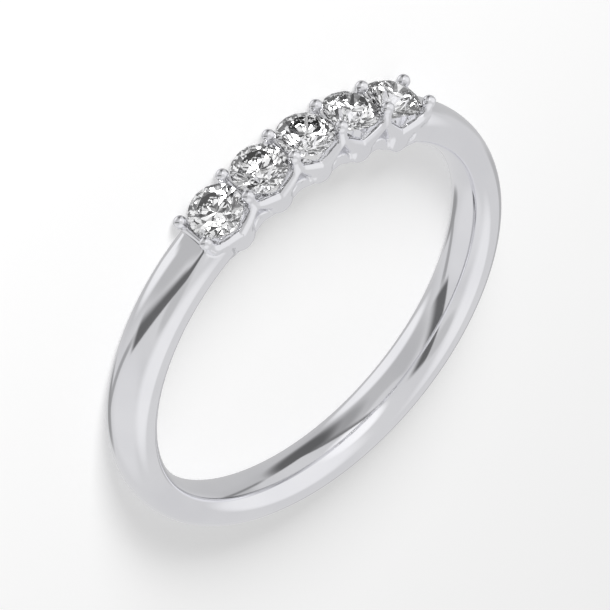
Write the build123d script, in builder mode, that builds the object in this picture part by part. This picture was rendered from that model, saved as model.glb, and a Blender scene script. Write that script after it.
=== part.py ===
from build123d import *
import math
import os

# Ring with a row of five round stones, lying on its flank. Millimetres.
# +Z runs along the finger, the stones face -Y, and the origin is the middle of the finger hole.

# Band: inside and outside are half ellipses across the width, with a narrow flat flank between,
# and the crest of the inside is a straight land
bore_radius = 8.25
band_width = 2.30
band_thickness_top = 1.65
band_thickness_base = 1.55
outer_crown_depth = 0.80
inner_crown_depth = 0.70
bore_land = 0.60

# Row of stones
stone_count = 5
stone_diameter = 2.29
stone_gap = 0.096
girdle_rise = 1.83
girdle_thickness = 0.10
table_ratio = 0.56
crown_angle = 34.5
pavilion_angle = 40.8
star_share = 0.50
lower_half_share = 0.77
setting_gap = 0.02

# Prongs, shared by neighbouring stones
prong_tip_rise = 0.24
prong_tip_offset = 0.29
prong_tip_radius = 0.275
prong_foot_rise = 1.45
prong_foot_inset = 0.28
prong_radius = 0.21

# Gallery, as seen along the finger: a V and a round foot under each stone, rises from the bore
gallery_inset = 0.01
vee_crotch_rise = 1.02
vee_bend_rise = 1.33
vee_bend_share = 0.54
vee_shoulder_rise = 1.73
vee_bend_radius = 0.60
vee_corner_radius = 0.10
foot_share = 0.525
foot_side_rise = 0.60
foot_side_radius = 0.20
window_apex_rise = 1.25
window_corner_radius = 0.08
gallery_edge_radius = 0.20
azure_radius = 0.75

# Rail between the feet, scalloped below and arched under each window
rail_inset = 0.19
rail_notch_rise = 0.24
rail_notch_radius = 0.20
rail_crest_rise = 0.66
rail_valley_rise = 0.43
rail_arch_reach = 0.46
rail_edge_radius = 0.12

# Arms that run out along the band's shoulders
arm_sweep = 15.0
arm_top_rise = 1.66
arm_end_top_rise = 1.27
arm_low_rise = 0.65
arm_width = 1.60
arm_edge_radius = 0.30
band_end_overlap = 2.5

# Sizes that follow from those above
half_width = band_width / 2
stone_radius = stone_diameter / 2
girdle_height = bore_radius + girdle_rise
half_pitch = math.degrees(math.asin((stone_diameter + stone_gap) / 2 / girdle_height))
stone_pitch = 2 * half_pitch
head_half_angle = stone_count * half_pitch
inner_prong_limit = head_half_angle - half_pitch
gallery_half_width = half_width - gallery_inset
stone_angles = [(i - (stone_count - 1) / 2) * stone_pitch for i in range(stone_count)]
prong_angles = [(i - stone_count / 2) * stone_pitch for i in range(stone_count + 1)]

# Heights this close count as the same, and so do angles this close to the row's ends
same_height = 1e-4
end_margin = 1.0


def polar(height, angle):
    """Point at a distance from the bore's axis, at an angle off the middle of the row."""
    turn = math.radians(angle)
    return (height * math.sin(turn), -height * math.cos(turn))


def beside(height, offset, angle):
    """Point at a distance along the radius at an angle, and an offset square to that radius."""
    turn = math.radians(angle)
    x, y = polar(height, angle)
    return (x + offset * math.cos(turn), y + offset * math.sin(turn))


def radial_plane(angle):
    """Plane through the middle of the bore, square to the radius at an angle, its X along the row."""
    return Plane(origin=(0, 0, 0), x_dir=polar(1, angle + 90) + (0,), z_dir=polar(1, angle) + (0,))


def section_plane(angle):
    """Plane that holds the bore's axis and the radius at an angle, its X along that radius."""
    return Plane(origin=(0, 0, 0), x_dir=polar(1, angle) + (0,), z_dir=polar(1, angle + 90) + (0,))


def corners_like(profile, point, angle_limit=90):
    """Corners of a profile as far from the bore's axis as a point, within an angle off the row's middle."""
    height = math.hypot(*point)
    reach = height * math.sin(math.radians(angle_limit))
    level = profile.vertices().filter_by(lambda v: abs(math.hypot(v.X, v.Y) - height) < same_height)
    return level.filter_by(lambda v: abs(v.X) < reach)


def rim_edges(piece, half_depth):
    """Edges round both flat faces of a piece of the head, apart from those at the row's two ends."""
    level = piece.edges().filter_by(lambda e: abs(abs(e.center().Z) - half_depth) < same_height)
    reach = math.tan(math.radians(head_half_angle - end_margin))
    return level.filter_by(lambda e: abs(e.center().X) < -reach * e.center().Y)


# Band: a crowned disc set off towards the stones, so that the band is thicker there
band_offset = (band_thickness_top - band_thickness_base) / 2
outer_radius = bore_radius + (band_thickness_top + band_thickness_base) / 2
outer_flank_radius = outer_radius - outer_crown_depth
inner_flank_radius = bore_radius + inner_crown_depth
inner_ellipse_depth = inner_crown_depth / math.sqrt(1 - (bore_land / band_width) ** 2)
beyond_band = 2 * outer_radius


def wedge(angle):
    """Corners of a wedge from the bore's axis, an angle wide to both sides of the row's middle."""
    return ((0, 0), polar(beyond_band, angle), (0, -2 * beyond_band), polar(beyond_band, -angle))


with BuildPart() as band:
    with BuildSketch(Plane.XZ.offset(band_offset)):
        with BuildLine():
            Polyline(
                (outer_flank_radius, half_width),
                (0, half_width),
                (0, -half_width),
                (outer_flank_radius, -half_width),
            )
            EllipticalCenterArc(
                (outer_flank_radius, 0), outer_crown_depth, half_width, start_angle=-90, arc_size=180
            )
        make_face()
    revolve(axis=Axis((0, -band_offset, 0), (0, 0, 1)))
    with BuildSketch(Plane.XZ):
        with BuildLine():
            Polyline(
                (inner_flank_radius, half_width),
                (0, half_width),
                (0, -half_width),
                (inner_flank_radius, -half_width),
            )
            EllipticalCenterArc(
                (inner_flank_radius, 0), inner_ellipse_depth, half_width, start_angle=90, arc_size=180
            )
        make_face()
    revolve(axis=Axis.Z, mode=Mode.SUBTRACT)
    Cylinder(bore_radius, band_width, mode=Mode.SUBTRACT)
    with BuildSketch():
        Polygon(*wedge(head_half_angle - band_end_overlap), align=None)
    extrude(amount=half_width, both=True, mode=Mode.SUBTRACT)

# Gallery: a V under each stone with a round foot, neighbours joined at the prongs
vee_crotch_height = bore_radius + vee_crotch_rise
vee_bend_height = bore_radius + vee_bend_rise
vee_bend_offset = vee_bend_share * stone_radius
vee_shoulder_height = bore_radius + vee_shoulder_rise
window_apex_height = bore_radius + window_apex_rise
foot_side_height = bore_radius + foot_side_rise
foot_offset = foot_share * stone_radius
post_half_angle = math.degrees(prong_radius / vee_shoulder_height)

with BuildPart() as gallery:
    with BuildSketch() as gallery_profile:
        for angle in stone_angles:
            left = angle - half_pitch
            right = angle + half_pitch
            foot_left = beside(foot_side_height, -foot_offset, angle)
            foot_right = beside(foot_side_height, foot_offset, angle)
            with BuildLine():
                Polyline(
                    foot_right,
                    polar(window_apex_height, right),
                    polar(vee_shoulder_height, right),
                    polar(vee_shoulder_height, right - post_half_angle),
                    beside(vee_bend_height, vee_bend_offset, angle),
                    polar(vee_crotch_height, angle),
                    beside(vee_bend_height, -vee_bend_offset, angle),
                    polar(vee_shoulder_height, left + post_half_angle),
                    polar(vee_shoulder_height, left),
                    polar(window_apex_height, left),
                    foot_left,
                )
                ThreePointArc(foot_left, polar(bore_radius, angle), foot_right)
            make_face()
        crotches = corners_like(gallery_profile, polar(vee_crotch_height, 0))
        fillet(crotches, radius=vee_corner_radius)
        bends = corners_like(gallery_profile, beside(vee_bend_height, vee_bend_offset, 0))
        fillet(bends, radius=vee_bend_radius)
        apexes = corners_like(gallery_profile, polar(window_apex_height, 0), inner_prong_limit)
        fillet(apexes, radius=window_corner_radius)
        foot_sides = corners_like(gallery_profile, beside(foot_side_height, foot_offset, 0))
        fillet(foot_sides, radius=foot_side_radius)
    extrude(amount=gallery_half_width, both=True)
    fillet(rim_edges(gallery, gallery_half_width), radius=gallery_edge_radius)

# Rail: closes the windows below, set back from the faces of the feet
rail_notch_height = bore_radius + rail_notch_rise
rail_valley_height = bore_radius + rail_valley_rise
rail_half_width = half_width - rail_inset

with BuildPart() as rail:
    with BuildSketch() as rail_profile:
        for angle in stone_angles:
            notch_left = polar(rail_notch_height, angle - half_pitch)
            notch_right = polar(rail_notch_height, angle + half_pitch)
            with BuildLine():
                ThreePointArc(notch_left, polar(bore_radius, angle), notch_right)
                Polyline(
                    notch_right,
                    polar(rail_valley_height, angle + half_pitch),
                    polar(rail_valley_height, angle - half_pitch),
                    notch_left,
                )
            make_face()
        notches = corners_like(rail_profile, polar(rail_notch_height, 0), inner_prong_limit)
        fillet(notches, radius=rail_notch_radius)
    extrude(amount=rail_half_width, both=True)
    rims = rim_edges(rail, rail_half_width)
    scallops = rims.filter_by(lambda e: math.hypot(e.center().X, e.center().Y) < rail_notch_height)
    fillet(scallops, radius=rail_edge_radius)

# Arches: the rail's crests, one under each window
with BuildPart() as arches:
    with BuildSketch():
        for angle in prong_angles[1:-1]:
            arch_left = beside(rail_valley_height, -rail_arch_reach, angle)
            arch_right = beside(rail_valley_height, rail_arch_reach, angle)
            with BuildLine():
                ThreePointArc(arch_left, polar(bore_radius + rail_crest_rise, angle), arch_right)
                Polyline(
                    arch_right,
                    beside(rail_notch_height, rail_arch_reach, angle),
                    beside(rail_notch_height, -rail_arch_reach, angle),
                    arch_left,
                )
            make_face()
    extrude(amount=rail_half_width, both=True)
    fillet(arches.edges().filter_by(GeomType.CIRCLE), radius=rail_edge_radius)

# Shoulder arms: run out of the end prongs and sink into the band
arm_sections = [
    (head_half_angle, bore_radius + arm_top_rise),
    (head_half_angle + arm_sweep, bore_radius + arm_end_top_rise),
]
arm_low_height = bore_radius + arm_low_rise

with BuildPart() as arms:
    for side in (-1, 1):
        for angle, top_height in arm_sections:
            with BuildSketch(section_plane(side * angle)):
                with Locations(((top_height + arm_low_height) / 2, 0)):
                    height = top_height - arm_low_height
                    RectangleRounded(height, arm_width, arm_edge_radius)
        loft()

# Prongs: posts that lean in towards round tips, a pair between each two stones and at both ends
prong_foot_height = bore_radius + prong_foot_rise
prong_tip_height = girdle_height + prong_tip_rise
prong_foot_spread = gallery_half_width - prong_foot_inset
half_spacing = prong_tip_height * math.sin(math.radians(half_pitch))
prong_tip_spread = math.sqrt((stone_radius + prong_tip_offset) ** 2 - half_spacing**2)

with BuildPart() as prongs:
    for angle in prong_angles:
        for side in (-1, 1):
            foot = Vector(*polar(prong_foot_height, angle), side * prong_foot_spread)
            tip = Vector(*polar(prong_tip_height, angle), side * prong_tip_spread)
            with BuildSketch(Plane(origin=foot, z_dir=tip - foot)):
                Circle(prong_radius)
            extrude(amount=(tip - foot).length)
            with Locations(tip):
                Sphere(prong_tip_radius)

# Cut stone: a round brilliant, its girdle's lower edge at height 0 and its table up
main_facets = 8
facet_step = 360 / main_facets
half_step = facet_step / 2
crown_slope = math.radians(crown_angle)
pavilion_slope = math.radians(pavilion_angle)
table_radius = table_ratio * stone_radius
table_inset = table_radius * math.cos(math.radians(half_step))
star_radius = table_inset + star_share * (stone_radius - table_inset)
table_height = girdle_thickness + (stone_radius - table_radius) * math.tan(crown_slope)
culet_depth = stone_radius * math.tan(pavilion_slope)
lower_radius = (1 - lower_half_share) * stone_radius


def spot(radius, angle, height):
    """Point of a stone at a radius and an angle about its axis."""
    turn = math.radians(angle)
    return (radius * math.cos(turn), radius * math.sin(turn), height)


def main_drop(radius, slope):
    """Height between the girdle and a main facet, half a step to the side of its middle."""
    return (stone_radius - radius * math.cos(math.radians(half_step))) * math.tan(slope)


def facet_plane(a, b, c):
    """Plane through three points, its normal away from the stone's middle."""
    normal = (Vector(*b) - Vector(*a)).cross(Vector(*c) - Vector(*a))
    outward = normal.dot(Vector(*a) - Vector(0, 0, girdle_thickness / 2))
    return Plane(origin=a, z_dir=normal if outward > 0 else normal * -1)


def facet_planes(main):
    """Crown main, star, pavilion main and the four halves beside them, at one step round the stone."""
    between = main + half_step
    star_tip = spot(star_radius, between, girdle_thickness + main_drop(star_radius, crown_slope))
    lower_tip = spot(lower_radius, between, -main_drop(lower_radius, pavilion_slope))
    table_corner = spot(table_radius, main, table_height)
    planes = [
        facet_plane(spot(stone_radius, main, girdle_thickness), table_corner, star_tip),
        facet_plane(table_corner, spot(table_radius, main + facet_step, table_height), star_tip),
        facet_plane(spot(stone_radius, main, 0), spot(0, 0, -culet_depth), lower_tip),
    ]
    for near in (main, main + facet_step):
        for tip, height in ((star_tip, girdle_thickness), (lower_tip, 0)):
            planes.append(facet_plane(tip, spot(stone_radius, near, height), spot(stone_radius, between, height)))
    return planes


with BuildPart() as brilliant:
    with BuildSketch(Plane.XY.offset(-culet_depth)):
        Circle(stone_radius)
    extrude(amount=culet_depth + table_height)
    for i in range(main_facets):
        for plane in facet_planes(i * facet_step):
            split(bisect_by=plane, keep=Keep.BOTTOM)

# Seats: the room that each stone takes with its gap, open to the finger through a round hole
girdle_low = girdle_height - girdle_thickness / 2
girdle_high = girdle_height + girdle_thickness / 2
seat_radius = stone_radius + setting_gap
pavilion_gap = setting_gap / math.cos(pavilion_slope)
crown_gap = setting_gap / math.cos(crown_slope)
seat_low = girdle_low + setting_gap * math.tan(pavilion_slope) - pavilion_gap
seat_high = girdle_high - setting_gap * math.tan(crown_slope) + crown_gap
seat_top = girdle_high + stone_radius * math.tan(crown_slope) + crown_gap
azure_top = girdle_low - (stone_radius - azure_radius) * math.tan(pavilion_slope) - pavilion_gap
azure_low = bore_radius / 2

with BuildPart() as seats:
    for angle in stone_angles:
        with BuildSketch(section_plane(angle)):
            with BuildLine():
                Polyline(
                    (azure_low, 0),
                    (azure_low, azure_radius),
                    (azure_top, azure_radius),
                    (seat_low, seat_radius),
                    (seat_high, seat_radius),
                    (seat_top, 0),
                    close=True,
                )
            make_face()
        revolve(axis=Axis((0, 0, 0), polar(1, angle) + (0,)))

# Metal: one casting
with BuildPart() as ring:
    add(band.part)
    add(arms.part)
    add(rail.part)
    add(arches.part)
    add(gallery.part)
    add(prongs.part)
    add(seats.part, mode=Mode.SUBTRACT)

os.makedirs("parts", exist_ok=True)
ring.part.label = "ring"
export_step(ring.part, "parts/ring.step")

for i, angle in enumerate(stone_angles, start=1):
    with BuildPart() as stone:
        with Locations(Location(radial_plane(angle)) * Location((0, 0, girdle_low))):
            add(brilliant.part)
    stone.part.label = f"stone_{i}"
    export_step(stone.part, f"parts/stone_{i}.step")
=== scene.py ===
import math
import bpy
import numpy as np
from mathutils import Matrix, Vector


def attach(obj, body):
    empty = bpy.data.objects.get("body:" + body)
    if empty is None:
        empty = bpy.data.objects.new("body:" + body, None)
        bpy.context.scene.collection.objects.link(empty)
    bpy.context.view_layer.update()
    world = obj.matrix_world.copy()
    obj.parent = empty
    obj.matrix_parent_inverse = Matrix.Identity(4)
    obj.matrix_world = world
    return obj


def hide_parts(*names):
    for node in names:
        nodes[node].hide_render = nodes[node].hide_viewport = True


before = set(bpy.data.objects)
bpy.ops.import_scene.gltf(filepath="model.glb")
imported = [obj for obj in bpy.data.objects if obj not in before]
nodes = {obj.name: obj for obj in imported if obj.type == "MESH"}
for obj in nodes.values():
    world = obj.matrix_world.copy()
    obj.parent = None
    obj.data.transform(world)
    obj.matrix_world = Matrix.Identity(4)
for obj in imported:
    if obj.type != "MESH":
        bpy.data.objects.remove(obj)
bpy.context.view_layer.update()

# Sizes of the ring in millimetres. Heights are measured from the bore's axis, rises from the bore,
# depths from the middle of the band's width, and turns off the middle of the row, in radians.
MM = 0.001
BORE = 8.25
HALF_WIDTH = 1.15

# Band: both sides are half ellipses across the width, the outer one set off towards the stones
BAND_OFFSET = 0.05
OUTER_FLANK = 9.05
OUTER_CROWN = 0.80
INNER_FLANK = 8.95
INNER_CROWN = 0.70
FLANK_BLEND = 0.04

# Stones, one to a cell of the row, with the room that each takes and the round hole below it
STONE_COUNT = 5
STONE_RADIUS = 1.145
GIRDLE = 10.08
GIRDLE_HALF = 0.05
PAVILION_ANGLE = math.radians(40.8)
CROWN_ANGLE = math.radians(34.5)
SEAT_GAP = 0.02
AZURE_RADIUS = 0.75
HALF_SPACING = 1.193
HALF_PITCH = math.asin(HALF_SPACING / GIRDLE)
PITCH = 2 * HALF_PITCH
HEAD_HALF = STONE_COUNT * HALF_PITCH
LAST_CELL = STONE_COUNT // 2

# Prongs, halfway between the cells: leaning posts with ball tips
TIP_HEIGHT = 10.32
TIP_SPREAD = 0.757
TIP_RADIUS = 0.275
POST_FOOT = 9.70
POST_SPREAD = 0.86
POST_RADIUS = 0.21
TIP_BLEND = 0.05

# Gallery: a V and a round foot under each stone
CROTCH_RISE = 1.02
BEND_ACROSS = 0.618
BEND_RISE = 1.33
BEND_CUT = 0.22
SHOULDER_ACROSS = 9.80 * math.sin(HALF_PITCH)
SHOULDER_HEIGHT = 9.91
SHOULDER_OVERLAP = 0.1
APEX_HEIGHT = 9.50
APEX_OVERLAP = 0.22
FOOT_SIDE_ACROSS = 0.60
FOOT_SIDE_RISE = 0.60
FOOT_CUT = 0.14
FOOT_POINTS = 12
GALLERY_HALF = 1.14
GALLERY_ROUND = 0.33
GALLERY_ROUND_RISE = 0.6
FOOT_ROUND = 0.14
FOOT_ROUND_RISE = 0.1
VEE_BLEND = 0.10

# Rail: scalloped below and arched between the feet
SCALLOP_RADIUS = 3.0
SCALLOP_BLEND = 0.15
ARCH_RADIUS = 0.46
ARCH_BLEND = 0.12
CREST_RISE = 0.74
VALLEY_RISE = 0.40
RAIL_HALF = 0.96
RAIL_ROUND = 0.10
RAIL_BLEND = 0.08

# Arms that run out along the band's shoulders, their top falling by a length for each radian
ARM_TOP = 9.91
ARM_FALL = 1.49
ARM_LOW = 8.90
ARM_HALF = 0.80
ARM_ROUND = 0.30
ARM_REACH = 0.2
ARM_END_BLEND = 0.05
BAND_START = HEAD_HALF - math.radians(2.5)
BAND_START_BLEND = 0.1

# Blends where bars and posts run together, and where one face cuts another
BLEND = 0.12
CREASE = 0.03

# Turns past the end of the band and of the head to which each is still worked out
BAND_MARGIN = 0.1
HEAD_MARGIN = 0.12

# Skin: side of its small faces, and how its corners are moved onto the shape
VOXEL = 0.078
MOVES = 6
LONGEST_MOVE = 0.04
SLOPE_STEP = 0.001
NORMAL_STEP = 0.03
LEAST_SLOPE = 0.1
LEAST_SLOPE_SQUARED = 0.05
CURVE_POINTS = 7
FAR = 1e9
TINY = 1e-6

# Light: of the even sky on matt surfaces, and the floor's own
DAYLIGHT = 0.35
FLOOR_GLOW = 0.35
FLOOR_REACH = 0.5

# Light in the narrow windows of the gallery goes to and fro more often than it is followed. From this many
# bounces on, the metal gives off a little of its own instead, so that they are not black.
DEEP_BOUNCE = 2
DEEP_GLOW = 0.17

# Slats that the stones see: brightness of the dark and the light ones, each with a place in the noise
DARK_SLAT = (0.455, (0.025, 0.025, 0.027))
LIGHT_SLAT = (0.565, (1.16, 1.16, 1.16))

# Soft cards round the ring, as polished metal sees them, later ones in front. Each has a brightness and
# up to three bounds: azimuth and elevation of an axis, and the cosines to it where the card fades in.
COOL = 1.01
SURROUND = 0.69
CARDS = (
    ("low wall", 0.54, ((-30, -50, 0.26, 0.57),)),
    ("back grey", 0.57, ((-115, -45, 0.78, 0.92),)),
    ("left shade", 0.48, ((-140, -5, 0.94, 0.98),)),
    ("back light", 0.76, ((128, -12, 0.78, 0.93),)),
    ("right wall", 0.53, ((30, -40, 0.76, 0.90),)),
    ("right light", 0.68, ((24, -3, 0.95, 0.98),)),
    ("low glow", 0.93, ((45, -76, 0.88, 0.955),)),
    ("dark shade", 0.36, ((-8, -35, 0.93, 0.99),)),
    ("dark card", 0.13, ((-36, -38, 0.90, 0.98),)),
    ("light patch", 0.68, ((-8, 56, -0.02, 0.03), (-74, 52, -0.02, 0.03), (-38, -17, 0.84, 0.93))),
    ("wide strip", 0.90, ((0, 90, -0.03, 0.06), (-52, 22, 0.60, 0.85))),
    ("window", 1.04, ((0, 7, 0.90, 0.97),)),
    ("right sky", 0.88, ((125, 54, 0.72, 0.94),)),
    ("right grey", 0.56, ((68, 24, 0.955, 0.99),)),
    ("left line", 0.26, ((-8, 56, -0.08, -0.03), (172, -56, -0.05, 0.0), (-80, -14, 0.92, 0.97))),
    ("rising line", 0.20, ((106, -52, -0.03, 0.01), (-74, 52, -0.14, -0.03), (0, -16, 0.84, 0.94))),
    ("thin line", 0.40, ((142, 42, -0.08, -0.04), (-38, -42, -0.05, -0.02), (138, -38, 0.80, 0.93))),
    ("dark corner", 0.34, ((172, -46, 0.978, 0.996),)),
    ("slanted edge", 0.14, ((-20, -38, -0.05, -0.01), (160, 38, -0.32, -0.14), (69, -9, 0.75, 0.85))),
)


def smooth_min(first, second, reach):
    """Smaller of two distances, rounded where they are within a reach of each other."""
    share = np.clip(0.5 + 0.5 * (second - first) / reach, 0, 1)
    return second * (1 - share) + first * share - reach * share * (1 - share)


def smooth_max(first, second, reach):
    """Larger of two distances, rounded where they are within a reach of each other."""
    return -smooth_min(-first, -second, reach)


def rounded_edge(side, face, radius):
    """Distance from a rounded edge, from those to its two sides, each of them set in by the radius."""
    outside = np.hypot(np.maximum(side, 0), np.maximum(face, 0))
    return np.minimum(np.maximum(side, face), 0) + outside - radius


def rounded_corner(before, corner, after, cut):
    """Points of a curve that takes the place of a corner, from and to a cut along its two sides."""
    before, corner, after = (np.array(point, float) for point in (before, corner, after))
    start = corner + (before - corner) * cut / np.linalg.norm(before - corner)
    end = corner + (after - corner) * cut / np.linalg.norm(after - corner)
    shares = np.linspace(0, 1, CURVE_POINTS)
    return [(1 - s) ** 2 * start + 2 * s * (1 - s) * corner + s**2 * end for s in shares]


def vee_outline():
    """Right half of a V and its foot, from the crotch to the bottom: across and up, in one stone's cell."""
    crotch = (0.0, BORE + CROTCH_RISE)
    bend = (BEND_ACROSS, BORE + BEND_RISE)
    shoulder = (SHOULDER_ACROSS, SHOULDER_HEIGHT)
    top = (shoulder[0] + SHOULDER_OVERLAP, shoulder[1] + SHOULDER_OVERLAP)
    apex = (APEX_HEIGHT * math.sin(HALF_PITCH), APEX_HEIGHT * math.cos(HALF_PITCH))
    foot_side = (FOOT_SIDE_ACROSS, BORE + FOOT_SIDE_RISE)
    rise = (apex[1] - foot_side[1]) / (apex[0] - foot_side[0])
    past = (apex[0] + APEX_OVERLAP, apex[1] + APEX_OVERLAP * rise)
    radius = (FOOT_SIDE_RISE**2 + FOOT_SIDE_ACROSS**2) / (2 * FOOT_SIDE_RISE)
    sweep = math.atan2(FOOT_SIDE_ACROSS, radius - FOOT_SIDE_RISE)
    turns = np.linspace(sweep, 0, FOOT_POINTS)
    bottom = [(radius * math.sin(turn), BORE + radius - radius * math.cos(turn)) for turn in turns]
    points = [crotch]
    points += rounded_corner(crotch, bend, shoulder, BEND_CUT)
    points += [shoulder, top, past]
    points += rounded_corner(past, foot_side, bottom[2], FOOT_CUT)
    points += bottom[3:]
    return [tuple(point) for point in points]


VEE = vee_outline()


def outline_distance(across, up):
    """Distance in a plane from the V's outline, negative inside; the outline is mirrored at across 0."""
    across = np.abs(across)
    nearest = np.full(across.shape, FAR)
    inside = np.zeros(across.shape, bool)
    for (start_x, start_y), (end_x, end_y) in zip(VEE, VEE[1:]):
        run, rise = end_x - start_x, end_y - start_y
        share = np.clip(((across - start_x) * run + (up - start_y) * rise) / (run**2 + rise**2), 0, 1)
        squared = (across - start_x - share * run) ** 2 + (up - start_y - share * rise) ** 2
        nearest = np.minimum(nearest, squared)
        if rise:
            crossed = across < start_x + (up - start_y) * run / rise
            inside ^= ((start_y > up) != (end_y > up)) & crossed
    return np.where(inside, -1, 1) * np.sqrt(nearest)


def extruded(flat, depth, half_depth, edge):
    """Distance from a flat shape that is given depth both ways, with rounded rims."""
    return rounded_edge(flat + edge, depth - half_depth + edge, edge)


def crown_distance(rise, depth, crown):
    """Distance from the elliptical side of the band, its rise measured from the flank's edge."""
    rise = np.maximum(rise, 0) / crown
    wide = depth / HALF_WIDTH
    level = np.maximum(np.hypot(rise, wide), TINY)
    slope = np.hypot(rise / level / crown, wide / level / HALF_WIDTH)
    return (level - 1) / np.maximum(slope, LEAST_SLOPE)


def band_distance(x, y, height, turn, depth):
    """Distance from the band with its two shoulder arms."""
    outer = crown_distance(np.hypot(x, y + BAND_OFFSET) - OUTER_FLANK, depth, OUTER_CROWN)
    inner = crown_distance(INNER_FLANK - height, depth, INNER_CROWN)
    band = smooth_max(outer, inner, FLANK_BLEND)
    band = smooth_max(band, (BAND_START - turn) * height, BAND_START_BLEND)
    top = ARM_TOP - ARM_FALL * (turn - HEAD_HALF)
    middle = (top + ARM_LOW) / 2
    tall = np.abs(height - middle) - np.maximum((top - ARM_LOW) / 2 - ARM_ROUND, 0)
    arm = rounded_edge(tall, depth - ARM_HALF + ARM_ROUND, ARM_ROUND)
    end = (np.abs(turn - HEAD_HALF - ARM_REACH) - ARM_REACH) * height
    return smooth_min(band, smooth_max(arm, end, ARM_END_BLEND), BLEND)


def across_and_up(turn, height, middle):
    """Place across and along the radius that has the turn of a middle."""
    angle = turn - middle
    return height * np.sin(angle), height * np.cos(angle)


def near_cells(turn, height):
    """Across and up in the nearest stone's cell, and in the next nearest one's."""
    nearest = np.clip(np.round(turn / PITCH), 0, LAST_CELL)
    local = turn - nearest * PITCH
    other = np.where((local > 0) & (nearest == LAST_CELL), nearest, nearest + np.where(local >= 0, 1, -1))
    return [across_and_up(turn, height, cell * PITCH) for cell in (nearest, other)]


def near_prong(turn, height):
    """Across and up from the nearest prong."""
    prong = np.clip(np.round(turn / PITCH - 0.5), 0, LAST_CELL)
    return across_and_up(turn, height, (prong + 0.5) * PITCH)


def gallery_distance(turn, height, depth):
    """Distance from the Vs and their feet."""
    first, second = (outline_distance(across, up) for across, up in near_cells(turn, height))
    rises = (BORE + FOOT_ROUND_RISE, BORE + GALLERY_ROUND_RISE)
    edge = np.interp(height, rises, (FOOT_ROUND, GALLERY_ROUND))
    return extruded(smooth_min(first, second, VEE_BLEND), depth, GALLERY_HALF, edge)


def rail_distance(turn, height, depth):
    """Distance from the rail: scalloped below, arched between the feet."""
    centre = BORE + SCALLOP_RADIUS
    cells = near_cells(turn, height)
    first, second = (np.hypot(across, up - centre) - SCALLOP_RADIUS for across, up in cells)
    across, up = near_prong(turn, height)
    arch = np.hypot(across, up - BORE - CREST_RISE + ARCH_RADIUS) - ARCH_RADIUS
    top = smooth_min(arch, up - BORE - VALLEY_RISE, ARCH_BLEND)
    flat = smooth_max(smooth_min(first, second, SCALLOP_BLEND), top, CREASE)
    flat = np.maximum(flat, (turn - HEAD_HALF) * height)
    return extruded(flat, depth, RAIL_HALF, RAIL_ROUND)


def prong_distance(turn, height, depth):
    """Distance from the posts with their round tips."""
    across, up = near_prong(turn, height)
    rise, lean = TIP_HEIGHT - POST_FOOT, TIP_SPREAD - POST_SPREAD
    up_post, out_post = up - POST_FOOT, depth - POST_SPREAD
    share = np.clip((up_post * rise + out_post * lean) / (rise**2 + lean**2), 0, 1)
    post = np.sqrt(across**2 + (up_post - share * rise) ** 2 + (out_post - share * lean) ** 2)
    tip = np.sqrt(across**2 + (up - TIP_HEIGHT) ** 2 + (depth - TIP_SPREAD) ** 2)
    return smooth_min(post - POST_RADIUS, tip - TIP_RADIUS, TIP_BLEND)


def seat_distance(turn, height, depth):
    """Distance from the room that the nearest stone takes, and from the round hole below it."""
    cell = np.clip(np.round(turn / PITCH), 0, LAST_CELL)
    across, up = across_and_up(turn, height, cell * PITCH)
    out = np.hypot(across, depth)
    side = out - STONE_RADIUS
    below = up - GIRDLE + GIRDLE_HALF
    above = up - GIRDLE - GIRDLE_HALF
    low = side * math.sin(PAVILION_ANGLE) - below * math.cos(PAVILION_ANGLE)
    high = side * math.sin(CROWN_ANGLE) + above * math.cos(CROWN_ANGLE)
    stone = np.maximum(np.maximum(side, low), high) - SEAT_GAP
    hole = np.maximum(out - AZURE_RADIUS, up - GIRDLE)
    return np.minimum(stone, hole)


def ring_distance(points):
    """Distance of points from the metal's surface, negative inside."""
    x, y = np.abs(points[:, 0]), points[:, 1]
    depth = np.abs(points[:, 2])
    height = np.hypot(x, y)
    turn = np.arctan2(x, -y)
    result = np.full(len(points), FAR)
    shank = turn > BAND_START - BAND_MARGIN
    result[shank] = band_distance(x[shank], y[shank], height[shank], turn[shank], depth[shank])
    head = turn < HEAD_HALF + HEAD_MARGIN
    place = (turn[head], height[head], depth[head])
    solid = smooth_min(gallery_distance(*place), rail_distance(*place), RAIL_BLEND)
    solid = smooth_min(solid, prong_distance(*place), BLEND)
    solid = smooth_min(result[head], solid, BLEND)
    result[head] = smooth_max(solid, -seat_distance(*place), CREASE)
    return result


def slopes(points, step):
    """Direction in which the distance grows at each point, over a short step."""
    change = np.zeros_like(points)
    for axis in range(3):
        shift = np.zeros(3)
        shift[axis] = step
        change[:, axis] = (ring_distance(points + shift) - ring_distance(points - shift)) / (2 * step)
    return change


def even_mesh():
    """The CAD ring in small faces of one size, in millimetres."""
    rough = nodes["ring"].data.copy()
    rough.transform(Matrix.Scale(1 / MM, 4))
    helper = bpy.data.objects.new("rough_ring", rough)
    bpy.context.scene.collection.objects.link(helper)
    remesh = helper.modifiers.new("even", "REMESH")
    remesh.mode = "VOXEL"
    remesh.voxel_size = VOXEL
    even = bpy.data.meshes.new_from_object(helper.evaluated_get(bpy.context.evaluated_depsgraph_get()))
    bpy.data.objects.remove(helper)
    return even


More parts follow.
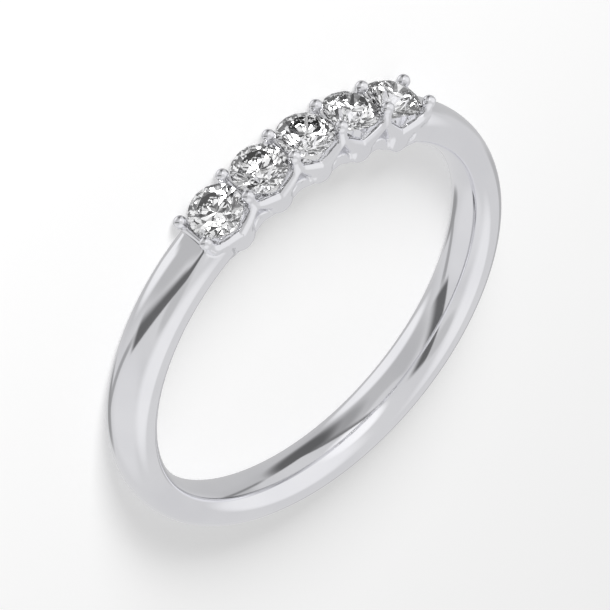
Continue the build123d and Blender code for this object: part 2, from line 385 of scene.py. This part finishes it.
def make_ring(material):
    """The metal as one smooth skin: the even mesh with each corner moved onto the blended shape."""
    even = even_mesh()
    points = np.zeros(len(even.vertices) * 3)
    even.vertices.foreach_get("co", points)
    points = points.reshape(-1, 3)
    for _ in range(MOVES):
        change = slopes(points, SLOPE_STEP)
        squared = np.maximum((change**2).sum(axis=1), LEAST_SLOPE_SQUARED)
        move = -ring_distance(points)[:, None] * change / squared[:, None]
        points = points + np.clip(move, -LONGEST_MOVE, LONGEST_MOVE)
    normals = slopes(points, NORMAL_STEP)
    normals /= np.maximum(np.linalg.norm(normals, axis=1), TINY)[:, None]
    even.vertices.foreach_set("co", (points * MM).ravel())
    even.polygons.foreach_set("use_smooth", [True] * len(even.polygons))
    even.update()
    even.normals_split_custom_set_from_vertices(normals.tolist())
    even.materials.clear()
    even.materials.append(material)
    even.name = "ring_metal"
    ring = bpy.data.objects.new("ring_metal", even)
    bpy.context.scene.collection.objects.link(ring)
    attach(ring, "root")
    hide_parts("ring")


def node_maker(tree):
    """Returns a function that adds a node of a kind and sets its named inputs."""
    def make(kind, **inputs):
        node = tree.nodes.new(kind)
        for name, value in inputs.items():
            node.inputs[name.replace("_", " ")].default_value = value
        return node
    return make


def colour_ramp(make, *stops):
    """Ramp between two colours, each at a position."""
    ramp = make("ShaderNodeValToRGB")
    for element, (position, colour) in zip(ramp.color_ramp.elements, stops):
        element.position = position
        element.color = (*colour, 1)
    return ramp


def metal_material():
    """Polished white gold: faint clouding of the colour and the polish, a very fine bump, and a painted
    glow from a few bounces deep that stands in for light going to and fro in the gallery's windows.
    """
    material = bpy.data.materials.new("white_gold")
    material.use_nodes = True
    tree = material.node_tree
    make = node_maker(tree)
    shader = tree.nodes["Principled BSDF"]
    shader.inputs["Metallic"].default_value = 1.0
    shader.inputs["Emission Color"].default_value = (1, 1, 1, 1)
    where = make("ShaderNodeTexCoord").outputs["Object"]
    clouds = make("ShaderNodeTexNoise", Scale=350.0, Detail=3.0)
    tint = colour_ramp(make, (0.35, (0.86, 0.86, 0.885)), (0.65, (0.90, 0.90, 0.92)))
    polish = make("ShaderNodeMapRange", To_Min=0.05, To_Max=0.10)
    grain = make("ShaderNodeTexNoise", Scale=9000.0, Detail=2.0)
    bump = make("ShaderNodeBump", Strength=0.02, Distance=0.00001)
    ray = make("ShaderNodeLightPath")
    # Painted glow: from DEEP_BOUNCE bounces on, the metal gives off light of its own in place of the
    # bounces that are not followed.
    painted_glow = make("ShaderNodeMapRange", From_Min=DEEP_BOUNCE - 1, From_Max=DEEP_BOUNCE, To_Max=DEEP_GLOW)
    tree.links.new(where, clouds.inputs["Vector"])
    tree.links.new(where, grain.inputs["Vector"])
    tree.links.new(clouds.outputs["Fac"], tint.inputs["Fac"])
    tree.links.new(clouds.outputs["Fac"], polish.inputs["Value"])
    tree.links.new(grain.outputs["Fac"], bump.inputs["Height"])
    tree.links.new(tint.outputs["Color"], shader.inputs["Base Color"])
    tree.links.new(polish.outputs["Result"], shader.inputs["Roughness"])
    tree.links.new(bump.outputs["Normal"], shader.inputs["Normal"])
    tree.links.new(ray.outputs["Ray Depth"], painted_glow.inputs["Value"])
    tree.links.new(painted_glow.outputs["Result"], shader.inputs["Emission Strength"])
    return material


def stone_material():
    """Clear diamond, with a faint cloud in its colour."""
    material = bpy.data.materials.new("diamond")
    material.use_nodes = True
    tree = material.node_tree
    make = node_maker(tree)
    shader = tree.nodes["Principled BSDF"]
    shader.inputs["Transmission Weight"].default_value = 1.0
    shader.inputs["IOR"].default_value = 2.42
    shader.inputs["Roughness"].default_value = 0.0
    where = make("ShaderNodeTexCoord").outputs["Object"]
    clouds = make("ShaderNodeTexNoise", Scale=900.0, Detail=2.0)
    tint = colour_ramp(make, (0.0, (0.97, 0.97, 0.98)), (1.0, (1.0, 1.0, 1.0)))
    tree.links.new(where, clouds.inputs["Vector"])
    tree.links.new(clouds.outputs["Fac"], tint.inputs["Fac"])
    tree.links.new(tint.outputs["Color"], shader.inputs["Base Color"])
    return material


def floor_material():
    """Plain pale matt floor, lit a little from below as a light table is."""
    material = bpy.data.materials.new("pale_floor")
    material.use_nodes = True
    shader = material.node_tree.nodes["Principled BSDF"]
    shader.inputs["Base Color"].default_value = (0.80, 0.80, 0.80, 1)
    shader.inputs["Roughness"].default_value = 1.0
    shader.inputs["Specular IOR Level"].default_value = 0.0
    shader.inputs["Emission Color"].default_value = (1, 1, 1, 1)
    shader.inputs["Emission Strength"].default_value = FLOOR_GLOW
    return material


def make_floor():
    """Wide flat floor at the ring's lower flank, which neither the metal nor the stones reflect."""
    low = -HALF_WIDTH * MM
    signs = ((-1, -1), (1, -1), (1, 1), (-1, 1))
    mesh = bpy.data.meshes.new("floor")
    mesh.from_pydata([(x * FLOOR_REACH, y * FLOOR_REACH, low) for x, y in signs], [], [(0, 1, 2, 3)])
    mesh.materials.append(floor_material())
    floor = bpy.data.objects.new("floor", mesh)
    bpy.context.scene.collection.objects.link(floor)
    floor.visible_glossy = False
    floor.visible_transmission = False


def direction(azimuth, elevation):
    """Unit vector: azimuth 0 is towards -Y and 90 towards +X, both angles in degrees."""
    turn, lift = math.radians(azimuth), math.radians(elevation)
    return (math.cos(lift) * math.sin(turn), -math.cos(lift) * math.cos(turn), math.sin(lift))


def add_bound(tree, where, azimuth, elevation, start, end):
    """Socket that goes from 0 to 1 as the direction nears an axis."""
    make = node_maker(tree)
    dot = make("ShaderNodeVectorMath")
    dot.operation = "DOT_PRODUCT"
    dot.inputs[1].default_value = direction(azimuth, elevation)
    tree.links.new(where, dot.inputs[0])
    fade = make("ShaderNodeMapRange", From_Min=start, From_Max=end)
    fade.interpolation_type = "SMOOTHSTEP"
    tree.links.new(dot.outputs["Value"], fade.inputs["Value"])
    return fade.outputs["Result"]


def multiplied(tree, first, second):
    """Socket with the product of two."""
    product = tree.nodes.new("ShaderNodeMath")
    product.operation = "MULTIPLY"
    tree.links.new(first, product.inputs[0])
    tree.links.new(second, product.inputs[1])
    return product.outputs[0]


def mixed(tree, amount, first, second):
    """Socket of a colour that goes from the first to the second; either may be a plain colour."""
    mix = tree.nodes.new("ShaderNodeMix")
    mix.data_type = "RGBA"
    tree.links.new(amount, mix.inputs["Factor"])
    for name, colour in (("A", first), ("B", second)):
        slot = next(s for s in mix.inputs if s.name == name and s.type == "RGBA")
        if isinstance(colour, tuple):
            slot.default_value = colour
        else:
            tree.links.new(colour, slot)
    return next(s for s in mix.outputs if s.type == "RGBA")


def cool_grey(level):
    """Grey of a brightness, a little bluer than even."""
    return (level, level, level * COOL, 1)


def surround_colour(tree, where):
    """Socket with the brightness of the soft cards in a direction."""
    colour = cool_grey(SURROUND)
    for _, level, bounds in CARDS:
        amount = add_bound(tree, where, *bounds[0])
        for bound in bounds[1:]:
            amount = multiplied(tree, amount, add_bound(tree, where, *bound))
        colour = mixed(tree, amount, colour, cool_grey(level))
    return colour


def make_world():
    """Even pale light for the floor, soft cards for the metal, and dark and light slats for the stones."""
    world = bpy.data.worlds.new("studio")
    bpy.context.scene.world = world
    world.use_nodes = True
    tree = world.node_tree
    make = node_maker(tree)
    background = tree.nodes["Background"]
    where = make("ShaderNodeTexCoord").outputs["Generated"]
    ray = make("ShaderNodeLightPath")
    noise = make("ShaderNodeTexNoise", Scale=6.5, Detail=1.5)
    slats = colour_ramp(make, DARK_SLAT, LIGHT_SLAT)
    tree.links.new(where, noise.inputs["Vector"])
    tree.links.new(noise.outputs["Fac"], slats.inputs["Fac"])
    even = (DAYLIGHT, DAYLIGHT, DAYLIGHT, 1)
    colour = mixed(tree, ray.outputs["Is Glossy Ray"], even, surround_colour(tree, where))
    colour = mixed(tree, ray.outputs["Is Transmission Ray"], colour, slats.outputs["Color"])
    tree.links.new(colour, background.inputs["Color"])


def area_light(name, place, size, power):
    """Square soft light at a place, facing the ring. Metres and watts. The metal doesn't reflect it."""
    lamp = bpy.data.lights.new(name, "AREA")
    lamp.size = size
    lamp.energy = power
    light = bpy.data.objects.new(name, lamp)
    light.location = place
    light.rotation_euler = (-Vector(place)).to_track_quat("-Z", "Y").to_euler()
    light.visible_glossy = False
    bpy.context.scene.collection.objects.link(light)


def make_camera():
    """Long lens at the photograph's angle to the ring, above the floor."""
    data = bpy.data.cameras.new("camera")
    data.lens = 672.8
    data.sensor_width = 36.0
    data.clip_start = 0.01
    data.clip_end = 5.0
    camera = bpy.data.objects.new("camera", data)
    camera.location = (0.202201, -0.327125, 0.231319)
    camera.rotation_euler = [math.radians(angle) for angle in (-46.6376, -41.2975, 179.8174)]
    bpy.context.scene.collection.objects.link(camera)
    bpy.context.scene.camera = camera


metal = metal_material()
stone = stone_material()
for name, node in nodes.items():
    cut = name.startswith("stone")
    node.data.materials.clear()
    node.data.materials.append(stone if cut else metal)
make_ring(metal)

make_floor()
make_world()
area_light("key", place=(0.025, -0.235, 0.095), size=0.09, power=0.71)
make_camera()
bpy.context.scene.view_settings.view_transform = "Standard"
